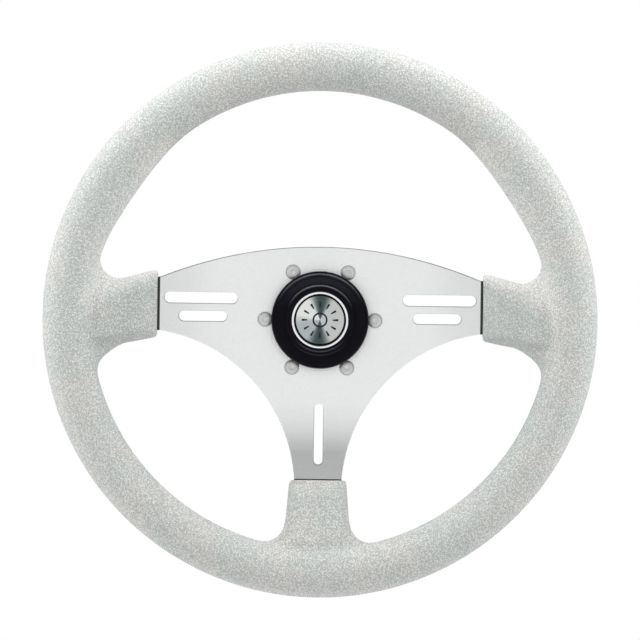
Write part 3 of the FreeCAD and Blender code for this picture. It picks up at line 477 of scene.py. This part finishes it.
on_boots = 1 - skin.between(skin.from_axis(), *boots_fade)
past_mouth = abs(x) - side_boot["mouth"] * millimetre
on_side_boots = on_boots * skin.between(past_mouth, *mouth_fade)
upper_edge = side_boot["edges at mouth"][0] * millimetre - edge_inset - past_mouth * edge_sinks
roll_width = side_boot["rolls at mouth"][0] * millimetre + past_mouth * roll_widens
thumb_rest = skin.between((z - upper_edge) / roll_width, -1.0, 0.0)
print("thumb rests start", side_boot["mouth"], "mm from the axis")

# %% [markdown]
# The pebbles catch the light, and the valleys between them lie in shade. A relief as fine as this one
# gives only a part of that difference, so shade is painted into the colour of the valleys as well. Over
# larger patches the skin drifts at random between a slightly green grey and a slightly creamy one. On
# the side boots it is creamier along the pale upper edges and greener below them, which is painted warm
# light and cool shade. On the real wheel that may be the pigment or the light, and here it is part of
# the colour. So two colours are blended for the pebbles and two for the valleys, and then the relief
# chooses between pebble and valley.

# %% The colour of the skin
patch = 26 * millimetre
drift = (0.36, 0.64)
green_pebble, cream_pebble = (0.821, 0.850, 0.834), (0.854, 0.847, 0.827)
green_valley, cream_valley = (0.392, 0.416, 0.399), (0.408, 0.412, 0.392)
valley_to_pebble = (0.42, 0.86)
relief_shows, patches_show = 0.9, 0.16
# painted shade on all boots, and a painted highlight along the upper edges of the side boots
boots_painted_shade, side_boots_painted_shade, thumb_rests_painted_light = 0.09, 0.06, 0.34

patches = skin.noise(patch, detail=2.0)
# A random drift, plus painted warm light on the upper edges of the side boots and painted cool shade below
# them.
warmth = skin.between(patches, *drift) + on_side_boots * (thumb_rest - 0.5)
valley_colour = skin.blend(warmth, green_valley, cream_valley)
pebble_colour = skin.blend(warmth, green_pebble, cream_pebble)
# Painted shade in the valleys of the grain, plus a random tone over the patches.
tone = skin.between(relief, *valley_to_pebble) * relief_shows + patches * patches_show
# Painted shade on the boots, then a painted highlight along the upper edges of the side boots.
tone = tone - on_boots * boots_painted_shade
tone = tone + on_side_boots * (thumb_rest * thumb_rests_painted_light - side_boots_painted_shade)
skin.varies(
    Base_Color=skin.blend(tone, valley_colour, pebble_colour),
    Roughness=0.66 - patches * 0.14,
)
rim.data.materials.clear()
rim.data.materials.append(skin.material)
print(skin.material.name, "on", rim.name)

# %% [markdown]
# ## The brushed plate
#
# The plate is sheet aluminium. It is cut, bent, brushed in one direction and then anodised, which keeps
# it pale and turns the scratches soft. Brushing is noise that is stretched far along one direction. The
# scratches change the roughness and the relief more than the colour, because they only turn the light.
# Towards their ends the two side arms are darker, and that is painted shade in the colour of the metal.

# %% Plate finish
strokes_per_metre = (60, 3500, 3500)
hairs_per_metre = (25, 1400, 1400)
painted_shade_ends = (62 * millimetre, 108 * millimetre)
brush_depth = 0.012 * millimetre
darker_aluminium, pale_aluminium = (0.74, 0.75, 0.75), (0.96, 0.97, 0.97)

plate_metal = Finish("brushed anodised aluminium", Metallic=1.0, Specular_IOR_Level=0.5)
strokes = plate_metal.noise(1.0, plate_metal.stretched(*strokes_per_metre), detail=4.0, roughness=0.65)
hairs = plate_metal.noise(1.0, plate_metal.stretched(*hairs_per_metre), detail=3.0)
blotches = plate_metal.noise(38 * millimetre, detail=3.0)
specks = plate_metal.noise(1.3 * millimetre, detail=2.0)
x, y, z = plate_metal.split(plate_metal.place)
# Painted shade towards the ends of the side arms.
ends = plate_metal.between(abs(x), *painted_shade_ends)
tone = strokes * 0.5 + blotches * 0.3 + specks * 0.4 - ends * 0.36
plate_metal.varies(
    Base_Color=plate_metal.blend(tone, darker_aluminium, pale_aluminium),
    Roughness=0.30 + strokes * 0.16 + blotches * 0.06,
    Normal=plate_metal.bump(strokes * 0.6 + hairs * 0.4, brush_depth),
)
paint(plate_metal, "spoke_plate")

# %% [markdown]
# ## Black parts
#
# Three blacks meet on this wheel and each has its own sheen. The first is the dull rubber of the seals,
# which are bands that close the mouths of the boots round the arms. At the side boots their black also
# stands in for the shade in the gap at the mouth, so there it is partly painted shade. Dust clings to
# rubber, so its roughness is uneven.

# %% Rubber finish
rubber = Finish("matt black rubber")
dust = rubber.noise(1.1 * millimetre, detail=4.0)
rubber.varies(
    Base_Color=rubber.blend(dust, (0.008, 0.008, 0.009), (0.028, 0.028, 0.029)),
    Roughness=0.55 + dust * 0.3,
    Normal=rubber.bump(dust, 0.05 * millimetre),
)
# The seals' black is partly painted shade at the mouths of the side boots.
paint(rubber, "seal_right", "seal_left", "seal_bottom", "cap_o_ring")

# %% [markdown]
# The cap is a satin moulding, nearly navy. Painted highlights run as thin pale lines along its outer
# edge and round its boss, with a faint painted sheen between them. They lie on the upper side and fade
# out towards the left and right, and two weaker ones lie on the lower side. They stand for the light
# that the rounded edges catch. Lamps that show in the cap would show in the plate as well, so they are
# painted here, and they stay in place when the wheel is seen from another side. Each line is a circle
# round the axis: its radius, its half width and its strength.

# %% Cap finish
upper_lines = [(29.1, 0.85, 0.8), (21.8, 0.75, 1.0)]
lower_lines = [(20.0, 0.6, 0.5), (22.4, 0.6, 0.3)]
painted_sheen_band = (25.2, 3.2, 1.0)
line_core = 0.3
upper_fade, lower_fade = (0.30, 1.0), (0.55, 1.0)
navy_dark, navy_pale = (0.001, 0.001, 0.003), (0.003, 0.003, 0.007)
painted_sheen_colour, highlight_colour = (0.014, 0.015, 0.020), (0.100, 0.100, 0.118)

cap_plastic = Finish("satin cap moulding", Specular_IOR_Level=0.07)
pores = cap_plastic.noise(0.35 * millimetre, detail=3.0)
smears = cap_plastic.noise(9 * millimetre, detail=3.0)
x, y, z = cap_plastic.split(cap_plastic.place)
from_axis = cap_plastic.from_axis()


def painted_highlight_line(radius, half_width, strength):
    """The line's strength on a circle round the axis, 0 beside it."""
    away = abs(from_axis - radius * millimetre)
    line = cap_plastic.between(away, half_width * line_core * millimetre, half_width * millimetre)
    return (1 - line) * strength


# Painted highlights and a painted sheen, mostly on the upper side of the cap.
on_top = cap_plastic.between(z / from_axis, *upper_fade)
underneath = cap_plastic.between(-1 * z / from_axis, *lower_fade)
lines_above = sum(painted_highlight_line(*line) for line in upper_lines) * on_top
lines_below = sum(painted_highlight_line(*line) for line in lower_lines) * underneath
painted_highlights = (lines_above + lines_below) * (0.6 + smears * 0.8)
moulding = cap_plastic.blend(smears, navy_dark, navy_pale)
with_painted_sheen = cap_plastic.blend(painted_highlight_line(*painted_sheen_band) * on_top, moulding, painted_sheen_colour)
cap_plastic.varies(
    Base_Color=cap_plastic.blend(painted_highlights, with_painted_sheen, highlight_colour),
    Roughness=0.14 + smears * 0.10 + pores * 0.06,
    Normal=cap_plastic.bump(pores, 0.010 * millimetre),
)
paint(cap_plastic, "hub_cap")

# %% [markdown]
# The hub is cast, then turned and anodised black, so fine rings run round it. Noise that knows only the
# distance from the axis and the height along it gives such rings on every face of a turned piece.

# %% Hub finish
rings_per_metre = 2600

hub_black = Finish("black anodised hub", Metallic=0.7)
x, y, z = hub_black.split(hub_black.place)
ring_place = {0: hub_black.from_axis() * rings_per_metre, 1: y * rings_per_metre}
turned = hub_black.node("ShaderNodeCombineXYZ", inputs=ring_place)
rings = hub_black.noise(1.0, turned, detail=3.0)
casting = hub_black.noise(2.4 * millimetre, detail=4.0)
hub_black.varies(
    Base_Color=hub_black.blend(casting, (0.012, 0.012, 0.014), (0.035, 0.035, 0.038)),
    Roughness=0.34 + rings * 0.2 + casting * 0.1,
    Normal=hub_black.bump(rings * 0.6 + casting * 0.4, 0.02 * millimetre),
)
paint(hub_black, "hub")

# %% [markdown]
# ## Screws, rivets and the steel inside
#
# The six screws are stainless steel, turned and then tumbled, so their heads are bright but not
# mirrors. From the front, the edge of a head curves away and looks a shade darker, and the floor of the
# key's socket is bright. A reflection on a head this small is too small to show that, so the dark edge
# is painted shade and the bright floor a painted highlight. All six share one finish. Where each screw
# stands doesn't matter, because the finish measures from the middle of the screw's own box.

# %% Screw finish
head = 9.5 * millimetre
key = 3.0 * millimetre
floor_fade = (0.40 * key, 0.60 * key)
edge_fade = (0.40 * head, 0.49 * head)
dull_steel, pale_steel = (0.60, 0.60, 0.60), (0.74, 0.74, 0.73)
edge_shade_steel, socket_highlight_steel = (0.42, 0.42, 0.42), (0.97, 0.97, 0.97)

screw_steel = Finish("tumbled stainless steel", Metallic=0.55)
tumbled = screw_steel.noise(0.5 * millimetre, detail=4.0)
dull = screw_steel.noise(3.5 * millimetre, detail=2.0)
x, y, z = screw_steel.split(screw_steel.node("ShaderNodeTexCoord", out="Generated"))
across, along = (x - 0.5) * head, (z - 0.5) * head
from_middle = (across * across + along * along) ** 0.5
# Painted highlight on the floor of the socket, and painted shade round the edge of the head.
lit_socket_floor = 1 - screw_steel.between(from_middle, *floor_fade)
shaded_head_edge = screw_steel.between(from_middle, *edge_fade)
steel = screw_steel.blend(dull, dull_steel, pale_steel)
steel = screw_steel.blend(shaded_head_edge, steel, edge_shade_steel)
screw_steel.varies(
    Base_Color=screw_steel.blend(lit_socket_floor, steel, socket_highlight_steel),
    Roughness=0.40 + tumbled * 0.2,
    Normal=screw_steel.bump(tumbled, 0.02 * millimetre),
)
paint(screw_steel, *sorted(name for name in solids if name.startswith("hub_screw")))

# %% [markdown]
# The rivets and the steel in the rim stay hidden, yet they are finished as well, because someone may
# take the wheel apart. The ring and its lugs have a grey primer, which the foam sticks to.

# %% Rivet and primer finishes
rivet_steel = Finish("pressed rivet steel", Metallic=1.0)
pressed = rivet_steel.noise(0.9 * millimetre, detail=4.0)
rivet_steel.varies(
    Base_Color=rivet_steel.blend(pressed, (0.30, 0.29, 0.28), (0.52, 0.51, 0.50)),
    Roughness=0.38 + pressed * 0.25,
    Normal=rivet_steel.bump(pressed, 0.04 * millimetre),
)
paint(rivet_steel, *sorted(name for name in solids if name.startswith("arm_rivet")))

primer = Finish("primed steel", Metallic=0.0)
spray = primer.noise(0.8 * millimetre, detail=4.0)
primer.varies(
    Base_Color=primer.blend(spray, (0.10, 0.10, 0.105), (0.17, 0.17, 0.175)),
    Roughness=0.6 + spray * 0.25,
    Normal=primer.bump(spray, 0.06 * millimetre),
)
paint(primer, "rim_core_ring", "core_lug_right", "core_lug_left", "core_lug_bottom")

# %% [markdown]
# ## The bright ring and the spun disc
#
# The ring in the cap is plated and close to a mirror. A little haze keeps it from looking like drawn
# wire.

# %% Ring finish
bright = Finish("bright plating", Metallic=1.0)
haze = bright.noise(2.2 * millimetre, detail=3.0)
bright.varies(
    Base_Color=bright.blend(haze, (0.80, 0.81, 0.82), (0.90, 0.91, 0.92)),
    Roughness=0.06 + haze * 0.08,
)
paint(bright, "bezel_ring")

# %% [markdown]
# The disc was turned on a lathe with a fine tool, so it is covered with circles that are too fine to see
# one by one. Each circle is a tiny mirror that leans towards or away from the middle, and together they
# spread the light into fans: pale ones on the left and right, dark ones above and below. Real grooves
# would need millions of faces, so the fans are painted reflections here, which follow the angle round the
# disc. The left fan is paler than the right one, and cooler in its lower part, and these are painted
# reflections too.

# %% Disc finish
grooves_per_metre = 1800
fan_edges = (0.83, 1.01)
fan_leans = 0.05
right_fade = (-1.0, 0.5)
cool_direction = (-0.80, -0.60)
cool_fade = (0.55, 0.95)
left_metal, right_metal = (0.78, 0.79, 0.76), (0.54, 0.56, 0.54)
cool_metal, dark_metal = (0.42, 0.47, 0.47), (0.050, 0.075, 0.073)

disc_metal = Finish("spun metal", Metallic=1.0)
x, y, z = disc_metal.split(disc_metal.place)
from_axis = disc_metal.from_axis()
groove_place = disc_metal.node("ShaderNodeCombineXYZ", inputs={0: from_axis * grooves_per_metre})
grooves = disc_metal.noise(1.0, groove_place, detail=2.0)
# Painted reflections: dark fans above and below, pale ones to the left and right.
painted_dark_fans = disc_metal.between(abs(z + x * fan_leans) / from_axis, *fan_edges)
to_right = disc_metal.between(x / from_axis, *right_fade)
towards_cool = (x * cool_direction[0] + z * cool_direction[1]) / from_axis
cool = disc_metal.between(towards_cool, *cool_fade)
pale = disc_metal.blend(to_right, left_metal, right_metal)
pale = disc_metal.blend(cool, pale, cool_metal)
disc_metal.varies(
    Base_Color=disc_metal.blend(painted_dark_fans * (1.1 - grooves * 0.2), pale, dark_metal),
    Roughness=0.20 + grooves * 0.12,
    Normal=disc_metal.bump(grooves, 0.02 * millimetre),
)
paint(disc_metal, "badge_disc")

# %% [markdown]
# The index marks are pressed into the disc and filled with enamel, which lies a little unevenly.

# %% Enamel finish
enamel = Finish("dark blue enamel", Specular_IOR_Level=0.2)
depth = enamel.noise(0.7 * millimetre, detail=2.0)
enamel.varies(
    Base_Color=enamel.blend(depth, (0.006, 0.008, 0.03), (0.014, 0.018, 0.07)),
    Roughness=0.25 + depth * 0.1,
)
paint(enamel, "badge_marks")

# %% [markdown]
# ## Light, floor and camera
#
# The wheel is shown on white in soft light. Lamps as wide as a table give it form, and the world round
# it fills the shadows with an even glow. Metal is different: a blurred mirror gets its looks from what
# stands in front of it. So the world answers by the kind of ray. The camera sees plain white. All else
# that isn't a reflection gets the even glow. A reflection sees a wall in front of the wheel, which is
# bright at the wheel's height, darkens higher up, where the bottom arm looks, and is dim to the sides.
# Each grey of that wall goes with a height, from 0 straight below to 1 straight above.

# %% World
ambient = 0.47
straight_on, aside = -0.70, -0.30
dim_aside = 0.25
wall_greys = [
    (0.00, 0.20), (0.12, 0.15), (0.30, 0.90), (0.50, 1.00),
    (0.70, 0.92), (0.84, 0.34), (0.91, 0.06), (0.98, 0.60),
]

world = bpy.data.worlds.new("studio")
bpy.context.scene.world = world
world.use_nodes = True
background = world.node_tree.nodes["Background"]
room = Nodes(world.node_tree)
to_camera = room.rays("Camera", "Transmission")
to_gloss = room.rays("Glossy")
x, y, z = room.split(room.node("ShaderNodeTexCoord", out="Generated"))
upward = z * 0.5 + 0.5
sides = room.between(y, straight_on, aside, at_low=1.0, at_high=dim_aside)
stops = [(height, (grey, grey, grey)) for height, grey in wall_greys]
wall = room.node("ShaderNodeValToRGB", {"stops": stops}, {"Fac": upward})
glow = (1 - to_camera - to_gloss) * ambient
room.feed(background.inputs["Strength"], to_camera + to_gloss * wall * sides + glow)
room.feed(background.inputs["Color"], (1, 1, 1))
print("world", world.name, "with", len(wall_greys), "greys from floor to ceiling")

# %% [markdown]
# A wide soft box hangs above the wheel, so whatever faces up is pale and whatever faces down is a shade
# darker. Two cards light the sides and one the back. Each lamp is a rectangle that looks at the middle
# of the rim. None of them shows to the camera or in the metal, where the wall does that job.

# %% Lamps
lamps = {
    "top_soft_box": {"place": (0.0, -0.20, 1.0), "size": (2.0, 1.8), "watts": 18},
    "left_card": {"place": (-1.4, -0.25, 0.70), "size": (1.0, 1.2), "watts": 16},
    "right_card": {"place": (1.4, -0.25, 0.70), "size": (1.0, 1.2), "watts": 15},
    "back_card": {"place": (0.0, 2.2, 1.2), "size": (2.0, 1.2), "watts": 12},
}
aim = Vector((0, rim_plane, 0))
for name, lamp in lamps.items():
    data = bpy.data.lights.new(name, "AREA")
    data.shape = "RECTANGLE"
    data.size, data.size_y = lamp["size"]
    data.energy = lamp["watts"]
    item = bpy.data.objects.new(name, data)
    item.location = lamp["place"]
    item.rotation_euler = (aim - Vector(lamp["place"])).to_track_quat("-Z", "Y").to_euler()
    item.visible_glossy = False
    item.visible_camera = False
    bpy.context.scene.collection.objects.link(item)
    print(name, lamp["watts"], "W")

# %% [markdown]
# The floor lies well below the wheel, which is held by its shaft in use. White paper would do, but its
# far edge would show as a grey horizon. So, where the camera or a reflection looks, a glow is mixed in
# that is complete away from the wheel. A part of the glow also serves the light that the paper throws
# back up, which brightens the undersides.

# %% Floor
floor_drop = 0.30
floor_half = 4.0
glow_fade = (0.5, 2.2)
glow_near = 0.55
glow_thrown_back = 0.4

mesh = bpy.data.meshes.new("floor")
corners = [(-1, -1), (1, -1), (1, 1), (-1, 1)]
mesh.from_pydata([(a * floor_half, b * floor_half, 0) for a, b in corners], [], [(0, 1, 2, 3)])
floor = bpy.data.objects.new("floor", mesh)
floor.location.z = solid_low.z - floor_drop
bpy.context.scene.collection.objects.link(floor)

paper = Finish("white paper", Base_Color=(0.74, 0.74, 0.74), Roughness=0.9, Specular_IOR_Level=0.1)
x, y, z = paper.split(paper.place)
fade = paper.between((x * x + y * y) ** 0.5, *glow_fade)
seen = paper.rays("Camera", "Transmission", "Glossy")
share = seen * (glow_near + fade * (1 - glow_near)) + paper.rays("Diffuse") * glow_thrown_back
glow = paper.node("ShaderNodeEmission", inputs={"Color": (1, 1, 1), "Strength": 1.0})
lit = Strand(paper, paper.surface.outputs[0])
whitened = paper.node("ShaderNodeMixShader", inputs={0: share, 1: lit, 2: glow})
paper.feed(paper.tree.nodes["Material Output"].inputs["Surface"], whitened)
mesh.materials.append(paper.material)
print("floor", floor_drop, "m below the wheel")

# %% [markdown]
# The camera stands three metres off with a long lens, level with the shaft, so the wheel shows nearly
# without perspective. It leans by less than a degree, because the reference picture shows the wheel
# turned by as much.

# %% Camera
picture_width = 0.4035
camera_distance = 3.0
camera_roll = math.radians(-0.8)
camera_data = bpy.data.cameras.new("camera")
camera = bpy.data.objects.new("camera", camera_data)
bpy.context.scene.collection.objects.link(camera)
camera_data.lens = camera_data.sensor_width * camera_distance / picture_width
camera_data.clip_end = 50
camera.location = (0, rim_plane - camera_distance, 0)
camera.rotation_euler = Euler((math.radians(90), camera_roll, 0))
bpy.context.scene.camera = camera
bpy.context.scene.view_settings.view_transform = "Standard"
print(f"lens {camera_data.lens:.0f} mm at {camera_distance} m")
